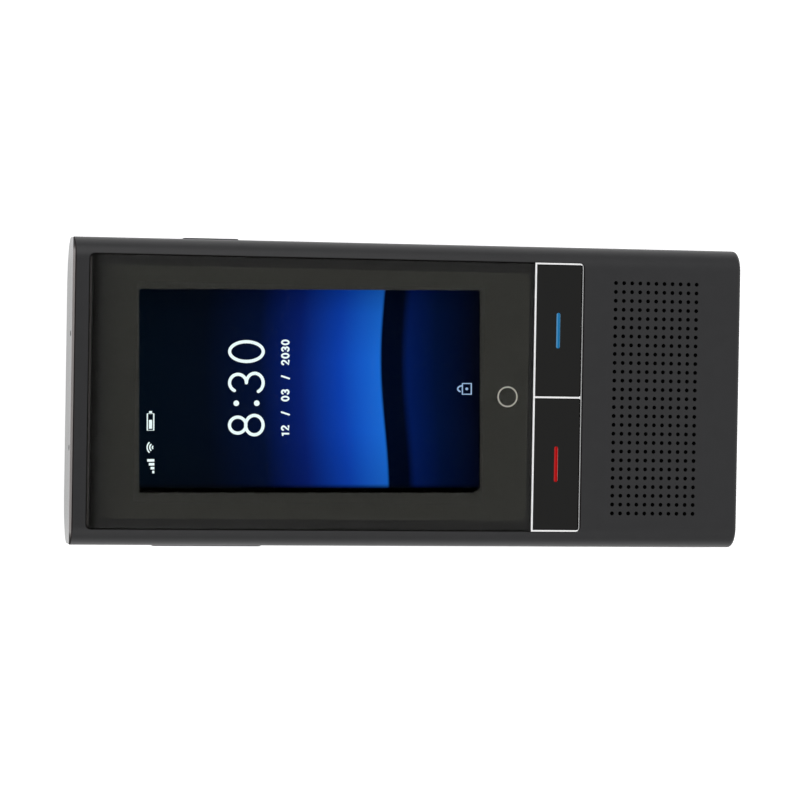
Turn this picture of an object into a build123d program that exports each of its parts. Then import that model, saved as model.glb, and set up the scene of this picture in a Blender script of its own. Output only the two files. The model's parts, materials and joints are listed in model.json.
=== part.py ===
from build123d import *
import os

os.makedirs("parts", exist_ok=True)

# Handheld voice translator. All sizes are in millimetres.
# X is the width, Y the length and Z the thickness. The device lies on its back: Z = 0 is the back,
# the display faces +Z and the end with the microphones, the top end, faces +Y.

# ---- Body -----------------------------------------------------------------------------------------
body_length = 133.2
body_width = 59.4
body_thickness = 13.0
front_edge_radius = 4.2      # long front edges
shoulder_width = 10.0        # long back edges are quarter ellipses, this wide
shoulder_height = 4.5        # and this tall
top_edge_radius = 0.2        # rim round the top end
bottom_edge_radius = 0.8     # rim round the bottom end
shell_wall = 1.6
parting_height = 4.6         # split between the front housing and the rear cover
parting_gap = 0.12
fit_gap = 0.1                # clearance of a part laid into a pocket

# ---- Top end cap ---------------------------------------------------------------------------------
cap_thickness = 1.6
cap_height = 9.0             # the housing's lip hangs down to this height over the cap
microphone_spacing = 22.06
microphone_depth = 6.0       # from the front face
microphone_hole_radius = 0.55

# ---- Front layout --------------------------------------------------------------------------------
top_rim = 2.9                # face between the top end and the glass
side_rim = 3.4               # face between the long sides and the glass
glass_corner_radius = 0.9
glass_gap = 0.2              # glass to the wall of its pocket
glass_groove_width = 0.35    # glue groove at the foot of that wall
glass_groove_depth = 0.4
glass_curve_width = 0.8      # the glass falls away towards its three free edges
glass_curve_drop = 0.14
glass_edge_radius = 0.2
glass_thickness = 0.7
print_gap = 0.01             # glue between the glass and its black print
print_inset = 0.1            # black print behind the edge of the glass
mask_thickness = 0.1
tape_thickness = 0.1
touch_thickness = 0.3
lcd_thickness = 0.8
backlight_thickness = 0.7
glass_ledge_width = 4.0      # housing ledge that carries the glass along its sides
module_gap = 0.3             # display module to the aperture of the housing
top_border = 6.3             # glass edge to display module
bottom_border = 5.7
window_top = 2.7             # display module edge to the window in the black print
window_bottom = 4.0
window_side = 0.8
film_thickness = 0.12
film_glue = 0.02             # between the film and the glass
film_side_margin = 2.0       # glass edge to protective film
film_top_margin = 1.26
film_bottom_margin = 1.05
film_corner_radius = 1.4
ring_offset = 4.92           # glass bottom edge to the centre of the home ring
ring_radius = 1.91
ring_line = 0.25

# ---- Talk keys -----------------------------------------------------------------------------------
button_frame_length = 9.89
button_frame_depth = 0.95
button_frame_overhang = 0.2  # the frame is this much wider than the glass on each side
button_frame_proud = 0.05
button_frame_corner = 0.8
button_frame_edge = 0.08     # rounding of the frame's face
button_frame_gap = 0.15      # frame to the wall of its pocket
frame_bar_top = 0.39         # bar beside the glass
frame_bar_bottom = 0.22
frame_bar_side = 0.35
frame_bar_middle = 0.39
frame_ledge = 0.2            # housing ledge under the frame
key_gap = 0.12
key_corner = 0.3
key_bevel = 0.08
key_travel = 0.3
key_play = 0.1               # key flange to the housing above it
key_flange_thickness = 0.6
key_flange_overlap = 0.15   # flange beyond the outside of the frame, along Y
mark_length = 7.1
mark_width = 0.86
mark_depth = 0.6
mark_proud = 0.12
mark_edge = 0.28             # rounding along the mark's face
mark_end_radius = 0.4
mark_offset = 0.15           # middle of the key to the middle of its mark, along Y

# ---- Speaker grille ------------------------------------------------------------------------------
grille_offset = 6.65         # button frame to the centres of the first holes
grille_bottom_margin = 9.25  # centres of the last holes to the bottom end
grille_length = 16.64
grille_side_margin = 6.9     # centres of the outer holes to the long sides
grille_pitch_y = 1.664
grille_pitch_x = 1.754
grille_hole_radius = 0.4
speaker_seal_width = 1.2
speaker_seal_thickness = 0.9
speaker_mesh_thickness = 0.1
speaker_height = 4.0
speaker_lip = 2.2            # frame wall round the diaphragm
speaker_recess = 3.0
diaphragm_step = 0.9
diaphragm_seat_depth = 0.7
diaphragm_thickness = 0.4
magnet_end_gap = 13.2        # frame end to magnet end
magnet_width = 12.0
magnet_height = 1.0

# ---- Side keys -----------------------------------------------------------------------------------
side_key_offset = 27.07      # top end to the middle of both side keys
side_key_height = 2.4
side_key_proud = 0.25
side_key_corner = 0.9
side_key_edge = 0.2          # rounding of the key's outer edge
side_key_gap = 0.1
side_key_play = 0.35         # flange to the inside of the wall
side_key_flange = 0.7
side_key_lip = 0.45
side_key_nub = 0.55
power_key_length = 10.85
side_key_travel = 0.25
volume_rocker_length = 21.5
volume_switch_spacing = 14.0
side_switch_depth = 2.4
side_switch_length = 3.8
side_plunger_reach = 0.8
side_plunger_radius = 0.6
plunger_gap = 0.1
side_switch_margin = 1.3     # switch body below the axis of its plunger

# ---- Boards and supports -------------------------------------------------------------------------
mid_frame_thickness = 0.5
board_thickness = 0.8
board_overhang = 0.8         # side switches reach this far beyond the board
board_top_gap = 3.2          # board edge to the end cap
board_bottom_gap = 1.25      # board edge to the button frame, along Y
mid_frame_inset = 0.6
post_radius = 1.6
board_post_inset = 6.8       # main board's long edge to the post centre
board_post_top = 1.4         # board edge to the post centre, at the top end
board_post_bottom = 1.7      # and at the bottom end
board_screw_head = 1.3
board_screw_head_height = 0.8
board_screw_radius = 0.7
screw_gap = 0.05
post_skin = 0.3              # material left in front of a blind screw hole
recess_reach = 0.7           # arms of a screw's cross recess, as shares of its head radius
recess_half_width = 0.15
shield_height = 1.7
shield_wall = 0.2
shield_low_x = -20.0         # both cans span this width
shield_high_x = 8.0
shield_bottom_gap = 2.0      # battery end to the first can, along Y
shield_gap = 4.0             # between the cans
shield_top_gap = 6.0         # second can to the other battery end
chip_height = 1.0
chip_margin = 2.0            # chip to the side of its can
processor_size = 12.0
memory_width = 9.0
memory_length = 11.0
power_chip_size = 7.0
connector_height = 0.8
connector_length = 3.0
flex_thickness = 0.2
lcd_flex_half_width = 4.0
lcd_flex_reach = 2.4         # display module to the fold of its cable
lcd_flex_landing = 4.0       # cable end behind the display module's edge
board_flex_width = 4.0
board_flex_gap = 0.3         # cable to the head of the board screw beside it
flex_landing = 5.0           # cable end to the edge of each board
battery_flex_half_width = 3.0
button_switch_size = 3.6
button_switch_height = 1.1
button_plunger_radius = 0.9
button_board_side_gap = 4.0  # board to the inside of the long walls
button_board_gap = 0.3       # board edge to the speaker
button_post_inset = 4.0
button_post_offset = 1.5      # board edge to the post centre
sub_board_thickness = 0.8
sub_board_clearance = 0.7    # magnet to sub-board
sub_board_length = 18.4
sub_board_side_gap = 8.0
sub_board_gap = 0.5
sub_post_inset = 4.0
sub_post_offset = 2.4
case_boss_radius = 2.0
case_boss_side_gap = 1.4     # boss centre line inboard of the wall, beyond the boss radius
case_boss_top = 5.5          # end cap to boss centre
case_boss_bottom = 2.7       # bottom wall to boss centre
case_boss_lift = 0.9         # boss foot above the parting line
case_screw_radius = 0.8
case_screw_head = 1.4
case_screw_head_height = 0.9
case_screw_seat = 2.3
case_screw_length = 5.5
case_sleeve_wall = 0.9
snap_tab_thickness = 0.8
snap_tab_length = 6.0
snap_tab_rise = 2.4
snap_tab_root = 1.2
snap_tab_first = 18.5
snap_tab_pitch = 20.0
snap_tab_count = 3

# ---- Battery, SIM tray, charging socket and small parts --------------------------------------------
battery_side_gap = 9.5       # cell to the inside of the long walls
battery_bottom_gap = 9.0     # board edge to the cell, at the bottom end
battery_top_gap = 11.8       # and at the top end, where its cable runs
battery_flex_lead = 2.0      # straight start of the cell's cable
battery_plug_length = 2.5
battery_plug_gap = 1.3       # plug to the microphones' cable
battery_clearance = 0.8      # shield cans to the battery
battery_tape_thickness = 0.15
battery_corner = 1.5
sim_offset = 56.5            # top end to the middle of the tray
sim_head_length = 12.4
sim_head_height = 1.4
sim_head_thickness = 1.4
sim_blade_width = 10.8
sim_blade_thickness = 0.7
sim_blade_length = 14.7
sim_card_length = 12.4
sim_card_width = 8.9
sim_gap = 0.1
sim_socket_height = 1.8
sim_socket_wall = 0.25
sim_pin_radius = 0.45
usb_width = 8.94
usb_height = 3.2
usb_wall = 0.3
usb_inset = 0.2              # socket mouth behind the outside of the wall
usb_tongue_width = 6.7
usb_tongue_thickness = 0.7
usb_back_gap = 0.35
motor_radius = 4.0
motor_height = 2.7
motor_x = -8.0
boot_radius = 2.0
boot_length = 1.6
microphone_width = 3.8
microphone_height = 2.9
microphone_thickness = 1.0
antenna_half_width = 15.0
antenna_length = 2.4
antenna_thickness = 0.15

# ---- Places worked out from the sizes ---------------------------------------------------------------
y_top = body_length / 2
y_bottom = -y_top
half_width = body_width / 2
inner_x = half_width - shell_wall
z_front = body_thickness
z_ceiling = z_front - shell_wall

glass_x = half_width - side_rim
glass_top = y_top - top_rim
grille_bottom = y_bottom + grille_bottom_margin
grille_width = body_width - 2 * grille_side_margin
grille_top = grille_bottom + grille_length
button_bottom = grille_top + grille_offset
button_top = button_bottom + button_frame_length
glass_bottom = button_top + key_gap

z_glass = z_front - glass_thickness
z_print = z_glass - print_gap
z_mask = z_print - mask_thickness
z_ledge = z_mask - tape_thickness
z_touch = z_mask - touch_thickness
z_lcd = z_touch - lcd_thickness
z_backlight = z_lcd - backlight_thickness
z_mid_frame = z_backlight - mid_frame_thickness
z_board = z_mid_frame - board_thickness
z_shield = z_board - shield_height

module_x = glass_x - glass_ledge_width - module_gap
module_y = (glass_bottom + bottom_border, glass_top - top_border)
window_x = module_x - window_side
window_y = (module_y[0] + window_bottom, module_y[1] - window_top)

button_x = glass_x + button_frame_overhang
z_frame = z_front - button_frame_depth
z_key_flange = z_ceiling - key_play
z_key = z_key_flange - key_flange_thickness
z_button_switch = z_key - key_travel - plunger_gap
z_button_board = z_button_switch - button_switch_height
button_board_x = inner_x - button_board_side_gap
key_x = (frame_bar_middle / 2 + key_gap, button_x - frame_bar_side - key_gap)
key_y = (button_bottom + frame_bar_bottom + key_gap, button_top - frame_bar_top - key_gap)
key_middle = (sum(key_x) / 2, sum(key_y) / 2)
mark_y = key_middle[1] + mark_offset

cap_inside = y_top - cap_thickness
board_y = (button_top + board_bottom_gap, cap_inside - board_top_gap)
case_boss_x = inner_x - case_boss_radius - case_boss_side_gap
case_boss_y = (y_bottom + shell_wall + case_boss_bottom, cap_inside - case_boss_top)
z_case_boss = parting_height + case_boss_lift

side_key_y = y_top - side_key_offset
side_key_z = (shoulder_height + body_thickness - front_edge_radius) / 2
side_flange_x = inner_x - side_key_play
side_nub_x = side_flange_x - side_key_flange - side_key_nub
side_switch_x = side_nub_x - side_plunger_reach
board_x = side_switch_x - board_overhang
board_flex_high = board_x - board_post_inset - board_screw_head - board_flex_gap
board_flex_x = (board_flex_high - board_flex_width, board_flex_high)
battery_x = inner_x - battery_side_gap
battery_y = (board_y[0] + battery_bottom_gap, board_y[1] - battery_top_gap)
battery_plug_y = board_y[1] - connector_length - battery_plug_gap - battery_plug_length

grille_middle = (grille_bottom + grille_top) / 2
button_board_y = grille_top + 2 * speaker_seal_width + button_board_gap
speaker_half_x = grille_width / 2 + 2 * speaker_seal_width
speaker_half_y = grille_length / 2 + 2 * speaker_seal_width
z_mesh = z_ceiling - speaker_mesh_thickness
z_seal = z_mesh - speaker_seal_thickness
z_speaker = z_seal - speaker_height
z_magnet = z_speaker - magnet_height
z_sub_board = z_magnet - sub_board_clearance
sub_board_y = y_bottom + shell_wall + sub_board_gap
sub_board_x = inner_x - sub_board_side_gap

sim_y = y_top - sim_offset
sim_z = z_board - sim_socket_height + sim_socket_wall + sim_gap + sim_blade_thickness / 2
sim_blade_x = half_width - sim_head_thickness - sim_blade_length
usb_z = z_sub_board + usb_height / 2
microphone_z = body_thickness - microphone_depth


# ---- Helpers -----------------------------------------------------------------------------------------
def block(x, y, z):
    """Box between a low and a high value along each axis."""
    spans = (x, y, z)
    size = [high - low for low, high in spans]
    middle = [(high + low) / 2 for low, high in spans]
    return Pos(*middle) * Box(*size)


def slab(x, y, z, radius):
    """Box with all four upright edges rounded."""
    return fillet(block(x, y, z).edges().filter_by(Axis.Z), radius)


def end_rounded(x, y, z, radius, end):
    """Box with the two upright edges at one end of Y rounded: end 0 is low Y, -1 is high Y."""
    return fillet(block(x, y, z).edges().filter_by(Axis.Z).group_by(Axis.Y)[end], radius)


def post(x, y, z, radius):
    return Pos(x, y, (z[0] + z[1]) / 2) * Cylinder(radius, z[1] - z[0])


def rod_x(x, y, z, radius):
    return Pos((x[0] + x[1]) / 2, y, z) * Rot(0, 90, 0) * Cylinder(radius, x[1] - x[0])


def rod_y(x, y, z, radius):
    return Pos(x, (y[0] + y[1]) / 2, z) * Rot(90, 0, 0) * Cylinder(radius, y[1] - y[0])


def both_sides(shape):
    """The shape and its mirror image across the middle of the width."""
    return shape + mirror(shape, about=Plane.YZ)


def strip(path, thickness, x):
    """Flat cable: a path of (y, z) points given a thickness and run across x."""
    profile = trace(Polyline(*path), thickness)
    return Pos(x[0], 0, 0) * (Plane.YZ * extrude(profile, x[1] - x[0]))


def save(name, shape):
    export_step(shape, f"parts/{name}.step")


# ---- Body shell ----------------------------------------------------------------------------------------
def section(inset):
    """Cross-section of the body across its width, moved inwards by an inset."""
    side = half_width - inset
    top = z_front - inset
    corner = front_edge_radius - inset
    across = shoulder_width - inset
    rise = shoulder_height - inset
    low = inset + rise
    right = (
        Line((0, top), (side - corner, top))
        + CenterArc((side - corner, top - corner), corner, 0, 90)
        + Line((side, top - corner), (side, low))
        + EllipticalCenterArc((side - across, low), across, rise, 270, arc_size=90)
        + Line((side - across, inset), (0, inset))
    )
    return make_face(right + mirror(right, about=Plane.YZ))


def body_run(inset, y):
    """The cross-section run along the length between two values of y."""
    plane = Plane(origin=(0, y[1], 0), x_dir=(1, 0, 0), z_dir=(0, -1, 0))
    return extrude(plane * section(inset), y[1] - y[0], dir=(0, -1, 0))


def body_outside():
    body = body_run(0, (y_bottom, y_top))
    body = fillet(body.faces().sort_by(Axis.Y)[-1].edges(), top_edge_radius)
    return fillet(body.faces().sort_by(Axis.Y)[0].edges(), bottom_edge_radius)


def body_inside():
    """Hollow of both shells, which stop at the end cap below the housing's lip."""
    hollow = body_run(shell_wall, (y_bottom + shell_wall, cap_inside))
    mouth = block((-body_width, body_width), (cap_inside, y_top + shell_wall), (-shell_wall, cap_height))
    return hollow + mouth


def side_slot(length, height, corner, x):
    """Bar through the side wall with its long edges along Y, centred on the side keys."""
    y = (side_key_y - length / 2, side_key_y + length / 2)
    z = (side_key_z - height / 2, side_key_z + height / 2)
    return fillet(block(x, y, z).edges().filter_by(Axis.X), corner)


def usb_outline(grow, y):
    """The socket's rounded section, grown all round and run along y."""
    width = usb_width + 2 * grow
    height = usb_height + 2 * grow
    bar = block((-width / 2, width / 2), y, (usb_z - height / 2, usb_z + height / 2))
    return fillet(bar.edges().filter_by(Axis.Y), height / 2 - usb_wall / 2)


def case_boss_places():
    return [(side * case_boss_x, y) for side in (-1, 1) for y in case_boss_y]


def board_post_places():
    rows = (board_y[0] + board_post_bottom, board_y[1] - board_post_top)
    x = board_x - board_post_inset
    return [(side * x, y) for side in (-1, 1) for y in rows]


def button_post_places():
    x = button_board_x - button_post_inset
    return [(side * x, button_board_y + button_post_offset) for side in (-1, 1)]


def sub_post_places():
    x = sub_board_x - sub_post_inset
    return [(side * x, sub_board_y + sub_post_offset) for side in (-1, 1)]


def blind_posts(places, foot, radius, hole):
    """Posts that hang from the front of the housing, with a blind screw hole from their foot."""
    solid = [post(x, y, (foot, z_ceiling + post_skin), radius) for x, y in places]
    holes = [post(x, y, (foot, z_ledge - post_skin), hole) for x, y in places]
    return solid, holes


def glass_pocket(grow, z):
    x = glass_x + grow
    return end_rounded((-x, x), (button_top - key_gap, glass_top + grow), z, glass_corner_radius + grow, -1)


def button_pocket(grow, z):
    x = button_x + grow
    y = (button_bottom - grow, button_top + grow)
    return end_rounded((-x, x), y, z, button_frame_corner + grow, 0)


def grille_holes():
    rows = int(grille_width / grille_pitch_x + 0.5) + 1
    columns = int(grille_length / grille_pitch_y + 0.5) + 1
    z = (z_ceiling - shell_wall, z_front + shell_wall)
    grid = GridLocations(grille_pitch_x, grille_pitch_y, rows, columns)
    return [post(place.position.X, grille_middle + place.position.Y, z, grille_hole_radius) for place in grid]


def front_housing():
    above = block(
        (-body_width, body_width), (-body_length, body_length),
        (parting_height + parting_gap / 2, 2 * body_thickness),
    )
    shell = (body_outside() & above) - body_inside()
    board_solid, board_holes = blind_posts(
        board_post_places(), z_backlight, post_radius, board_screw_radius + screw_gap)
    button_solid, button_holes = blind_posts(
        button_post_places(), z_button_board, post_radius, board_screw_radius + screw_gap)
    sub_solid, sub_holes = blind_posts(
        sub_post_places(), z_sub_board, post_radius, board_screw_radius + screw_gap)
    case_solid, case_holes = blind_posts(
        case_boss_places(), z_case_boss, case_boss_radius, case_screw_radius + screw_gap)
    shell += board_solid + button_solid + sub_solid + case_solid
    aperture_x = module_x + module_gap
    aperture = slab(
        (-aperture_x, aperture_x), (module_y[0] - module_gap, module_y[1] + module_gap),
        (z_backlight, z_front), module_gap,
    )
    key_hole_x = button_x - frame_ledge
    key_hole = slab(
        (-key_hole_x, key_hole_x), (button_bottom + frame_ledge / 2, button_top - frame_ledge),
        (z_ceiling - post_skin, z_front), key_corner,
    )
    wall = (inner_x - shell_wall, half_width + shell_wall)
    volume_wall = (-wall[1], -wall[0])
    gap = 2 * side_key_gap
    head = sim_head_height + 2 * sim_gap
    sim_slot = block(
        wall,
        (sim_y - sim_head_length / 2 - sim_gap, sim_y + sim_head_length / 2 + sim_gap),
        (sim_z - head / 2, sim_z + head / 2),
    )
    groove = (z_ledge - glass_groove_depth, z_ledge)
    shell -= [
        glass_pocket(glass_gap, (z_ledge, z_front + shell_wall)),
        glass_pocket(glass_gap, groove) - glass_pocket(glass_gap - glass_groove_width, groove),
        button_pocket(button_frame_gap, (z_frame, z_front + shell_wall)),
        aperture,
        key_hole,
        *grille_holes(),
        side_slot(power_key_length + gap, side_key_height + gap, side_key_corner, wall),
        side_slot(volume_rocker_length + gap, side_key_height + gap, side_key_corner, volume_wall),
        sim_slot,
        usb_outline(fit_gap, (y_bottom - shell_wall, y_bottom + 2 * shell_wall)),
    ]
    return shell - (board_holes + button_holes + sub_holes + case_holes)


def rear_cover():
    below = block(
        (-body_width, body_width), (-body_length, body_length),
        (-body_thickness, parting_height - parting_gap / 2),
    )
    shell = (body_outside() & below) - body_inside()
    sleeve_radius = case_screw_head + case_sleeve_wall
    inside = body_run(shell_wall / 2, (y_bottom + shell_wall / 2, y_top))
    for x, y in case_boss_places():
        sleeve = post(x, y, (0, z_case_boss - parting_gap), sleeve_radius)
        shell += sleeve & inside
        shell -= post(x, y, (-shell_wall, case_screw_seat), case_screw_head + screw_gap * 2)
        shell -= post(x, y, (0, body_thickness), case_screw_radius + screw_gap)
    tab_x = (inner_x - fit_gap - snap_tab_thickness, inner_x - fit_gap)
    for number in range(snap_tab_count):
        y = y_bottom + snap_tab_first + number * snap_tab_pitch
        span = (y - snap_tab_length / 2, y + snap_tab_length / 2)
        tab = block(tab_x, span, (parting_height, parting_height + snap_tab_rise))
        root = block(
            (tab_x[0], inner_x + shell_wall / 2), span,
            (parting_height - snap_tab_root, parting_height - parting_gap / 2),
        )
        shell += both_sides(tab + (root & inside) + block(
            tab_x, span, (parting_height - snap_tab_root, parting_height)))
    return shell - usb_outline(fit_gap, (y_bottom - shell_wall, y_bottom + 2 * shell_wall))


def top_end_cap():
    """End plate as wide as the body, bonded to the ends of both shells under the lip."""
    span = block((-body_width, body_width), (cap_inside, y_top), (-shell_wall, cap_height - fit_gap))
    cap = body_outside() & span
    for side in (-1, 1):
        cap -= rod_y(side * microphone_spacing / 2, (cap_inside, y_top), microphone_z, microphone_hole_radius)
    return cap


# ---- Display ---------------------------------------------------------------------------------------------
def glass_sheet(inset, z):
    """Sheet with the glass outline, drawn in by an inset."""
    x = glass_x - inset
    y = (glass_bottom + inset, glass_top - inset)
    return end_rounded((-x, x), y, z, glass_corner_radius - inset, -1)


def cover_glass():
    """Sheet that falls away towards every edge but the one beside the button frame."""
    glass = glass_sheet(0, (z_glass, z_front))
    face = glass.faces().sort_by(Axis.Z)[-1]
    free = face.edges().sort_by(Axis.Y)[1:]
    glass = chamfer(free, glass_curve_width, glass_curve_drop, reference=face)
    z_rim = z_front - glass_curve_drop
    rim = glass.edges().filter_by_position(Axis.Z, z_rim - print_gap, z_rim + print_gap)
    return fillet(rim, glass_edge_radius)


def home_ring():
    """Printed ring that fills a slot in the black mask."""
    ring_y = glass_bottom + ring_offset
    disc = post(0, ring_y, (z_mask, z_print), ring_radius + ring_line / 2)
    return disc - post(0, ring_y, (z_mask, z_print), ring_radius - ring_line / 2)


def glass_mask():
    window = block((-window_x, window_x), window_y, (z_mask, z_print))
    return glass_sheet(print_inset, (z_mask, z_print)) - window - home_ring()


def glass_tape():
    inner_x_edge = module_x + 2 * module_gap
    inner = block(
        (-inner_x_edge, inner_x_edge),
        (module_y[0] - 2 * module_gap, module_y[1] + 2 * module_gap),
        (z_ledge, z_mask),
    )
    return glass_sheet(glass_groove_width, (z_ledge, z_mask)) - inner


def screen_film():
    x = glass_x - film_side_margin
    y = (glass_bottom + film_bottom_margin, glass_top - film_top_margin)
    low = z_front + film_glue
    return slab((-x, x), y, (low, low + film_thickness), film_corner_radius)


def module_sheet(inset, z):
    x = module_x - inset
    return block((-x, x), (module_y[0] + inset, module_y[1] - inset), z)


def lcd_flex():
    y = module_y[0]
    z = z_lcd - flex_thickness
    bend = y - lcd_flex_reach
    path = [
        (y, z),
        (bend, z),
        (bend, z_board - connector_height - flex_thickness / 2),
        (y + lcd_flex_landing, z_board - connector_height - flex_thickness / 2),
    ]
    return strip(path, flex_thickness, (-lcd_flex_half_width, lcd_flex_half_width))


# ---- Talk keys -------------------------------------------------------------------------------------------
def button_frame():
    """Frame round both keys: its windows are square at the glass and round at the grille."""
    z = (z_frame, z_front + button_frame_proud)
    window = end_rounded(
        (frame_bar_middle / 2, button_x - frame_bar_side),
        (button_bottom + frame_bar_bottom, button_top - frame_bar_top),
        z, key_corner + key_gap, 0,
    )
    frame = button_pocket(0, z) - both_sides(window)
    return fillet(frame.faces().sort_by(Axis.Z)[-1].edges(), button_frame_edge)


def talk_key():
    """The key on the +X side, without its colour mark."""
    cap = end_rounded(key_x, key_y, (z_key, z_front), key_corner, 0)
    cap = chamfer(cap.faces().sort_by(Axis.Z)[-1].edges(), key_bevel)
    reach = key_gap + frame_bar_top + key_flange_overlap
    flange = block(key_x, (key_y[0] - reach, key_y[1] + reach), (z_key, z_key_flange))
    return cap + flange - key_mark()


def key_mark():
    """Colour mark set into its key, standing a little proud with a rounded face."""
    x = (key_middle[0] - mark_length / 2, key_middle[0] + mark_length / 2)
    y = (mark_y - mark_width / 2, mark_y + mark_width / 2)
    bar = slab(x, y, (z_front - mark_depth, z_front + mark_proud), mark_end_radius)
    return fillet(bar.faces().sort_by(Axis.Z)[-1].edges(), mark_edge)


def key_plunger():
    return post(*key_middle, (z_button_switch - key_travel - plunger_gap, z_key), button_plunger_radius)


def button_board():
    y = (button_board_y, button_top + board_bottom_gap / 2)
    z = (z_button_board - board_thickness, z_button_board)
    board = block((-button_board_x, button_board_x), y, z)
    return board - screw_holes(button_post_places(), z_button_board)


def screw_holes(places, z):
    """Clearance holes through a board whose upper face is at z."""
    return [post(x, y, (z - 2 * board_thickness, z + board_thickness), board_screw_radius + screw_gap)
            for x, y in places]


def button_switches():
    x, y = key_middle
    half = button_switch_size / 2
    switch = block((x - half, x + half), (y - half, y + half), (z_button_board, z_button_switch))
    bore = button_plunger_radius + plunger_gap
    return both_sides(switch - post(x, y, (z_button_board, z_button_switch), bore))


# ---- Side keys -------------------------------------------------------------------------------------------
def side_key(length, nubs):
    """Side key on the +X side, with its nubs at these distances from its middle."""
    key = side_slot(length, side_key_height, side_key_corner - side_key_gap,
                    (side_flange_x - side_key_flange, half_width + side_key_proud))
    key = fillet(key.faces().sort_by(Axis.X)[-1].edges(), side_key_edge)
    key += side_slot(length + 2 * side_key_lip, side_key_height + side_key_lip, side_key_corner,
                     (side_flange_x - side_key_flange, side_flange_x))
    for nub in nubs:
        key += rod_x((side_nub_x, side_flange_x), side_key_y + nub, side_key_z, 2 * side_plunger_radius)
    return key


def side_plunger(nub):
    low = side_switch_x - side_plunger_reach
    return rod_x((low, side_nub_x), side_key_y + nub, side_key_z, side_plunger_radius)


def side_switch(nub):
    y = side_key_y + nub
    body = block(
        (side_switch_x - side_switch_depth, side_switch_x),
        (y - side_switch_length / 2, y + side_switch_length / 2),
        (side_key_z - side_switch_margin, z_board),
    )
    depth = side_plunger_reach + side_key_travel + plunger_gap
    bore = side_plunger_radius + plunger_gap
    return body - rod_x((side_switch_x - depth, side_switch_x), y, side_key_z, bore)


# ---- Boards ----------------------------------------------------------------------------------------------
def stacked_sheet(x_edge, z):
    """Mid frame or main board: notched round the case bosses, with a slot for the display cable."""
    sheet = block((-x_edge, x_edge), board_y, z)
    notch = block(
        (case_boss_x - case_boss_radius - 4 * fit_gap, half_width),
        (case_boss_y[1] - case_boss_radius - 4 * fit_gap, y_top), z,
    )
    slot_x = lcd_flex_half_width + module_gap
    slot = block((-slot_x, slot_x), (board_y[0], module_y[0] - lcd_flex_reach + 2 * flex_thickness), z)
    return sheet - both_sides(notch) - slot


def mid_frame():
    frame = stacked_sheet(board_x - mid_frame_inset, (z_mid_frame, z_backlight))
    return frame - screw_holes(board_post_places(), z_backlight)


def main_board():
    return stacked_sheet(board_x, (z_board, z_mid_frame)) - screw_holes(board_post_places(), z_mid_frame)


def shield_places():
    """Two cans along the battery: (x span, y span) of each."""
    low = battery_y[0] + shield_bottom_gap
    high = battery_y[1] - shield_top_gap
    length = (high - low - shield_gap) / 2
    x = (shield_low_x, shield_high_x)
    return [(x, (low, low + length)), (x, (high - length, high))]


def shield_cans():
    cans = []
    for x, y in shield_places():
        can = block(x, y, (z_shield, z_board))
        inner = block(
            (x[0] + shield_wall, x[1] - shield_wall), (y[0] + shield_wall, y[1] - shield_wall),
            (z_shield + shield_wall, z_board),
        )
        cans.append(can - inner)
    return cans[0] + cans[1]


def chip(x, middle_y, length):
    """Chip under the main board: its x span, the middle of its y span and its length."""
    y = (middle_y - length / 2, middle_y + length / 2)
    return block(x, y, (z_board - chip_height, z_board))


def main_chips():
    """Processor and memory in one can, power chip in the other."""
    first, second = [sum(y) / 2 for _, y in shield_places()]
    low = shield_low_x + chip_margin
    high = shield_high_x - chip_margin
    processor = chip((low, low + processor_size), first, processor_size)
    memory = chip((high - memory_width, high), first, memory_length)
    power_chip = chip((low, low + power_chip_size), second, power_chip_size)
    return processor + memory + power_chip


def screws(places, z_seat, z_tip, shank, head, head_height):
    """Screws driven towards +Z, seated at z_seat, each with a cross recess."""
    group = None
    for x, y in places:
        screw = post(x, y, (z_seat - head_height, z_seat), head) + post(x, y, (z_seat, z_tip), shank)
        recess = (z_seat - head_height, z_seat - head_height / 2)
        arm = head * recess_reach
        slot = head * recess_half_width
        screw -= block((x - arm, x + arm), (y - slot, y + slot), recess)
        screw -= block((x - slot, x + slot), (y - arm, y + arm), recess)
        group = screw if group is None else group + screw
    return group


def board_screw_set(places, z_seat):
    """The same small screw in each place, up into the blind hole of its post."""
    tip = z_ledge - 2 * post_skin
    return screws(places, z_seat, tip, board_screw_radius, board_screw_head, board_screw_head_height)


# ---- SIM tray --------------------------------------------------------------------------------------------
def sim_tray():
    head = block(
        (half_width - sim_head_thickness, half_width),
        (sim_y - sim_head_length / 2, sim_y + sim_head_length / 2),
        (sim_z - sim_head_height / 2, sim_z + sim_head_height / 2),
    )
    blade = block(
        (sim_blade_x, half_width - sim_head_thickness),
        (sim_y - sim_blade_width / 2, sim_y + sim_blade_width / 2),
        (sim_z - sim_blade_thickness / 2, sim_z + sim_blade_thickness / 2),
    )
    frame = (sim_blade_width - sim_card_width) / 2
    card = block(
        (sim_blade_x + frame, sim_blade_x + frame + sim_card_length),
        (sim_y - sim_card_width / 2, sim_y + sim_card_width / 2),
        (sim_z - sim_blade_thickness, sim_z + sim_blade_thickness),
    )
    pin_y = sim_y - sim_head_length / 2 + 4 * sim_pin_radius
    pin = rod_x((half_width - sim_head_thickness / 2, half_width), pin_y, sim_z, sim_pin_radius)
    return head + (blade - card) - pin


def sim_socket():
    cavity_y = sim_blade_width / 2 + sim_gap
    mouth = inner_x - sim_head_thickness
    cage = block(
        (sim_blade_x - sim_gap - sim_socket_wall, mouth),
        (sim_y - cavity_y - sim_socket_wall, sim_y + cavity_y + sim_socket_wall),
        (z_board - sim_socket_height, z_board),
    )
    half = sim_blade_thickness / 2 + sim_gap
    return cage - block(
        (sim_blade_x - sim_gap, mouth), (sim_y - cavity_y, sim_y + cavity_y), (sim_z - half, sim_z + half))


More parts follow.
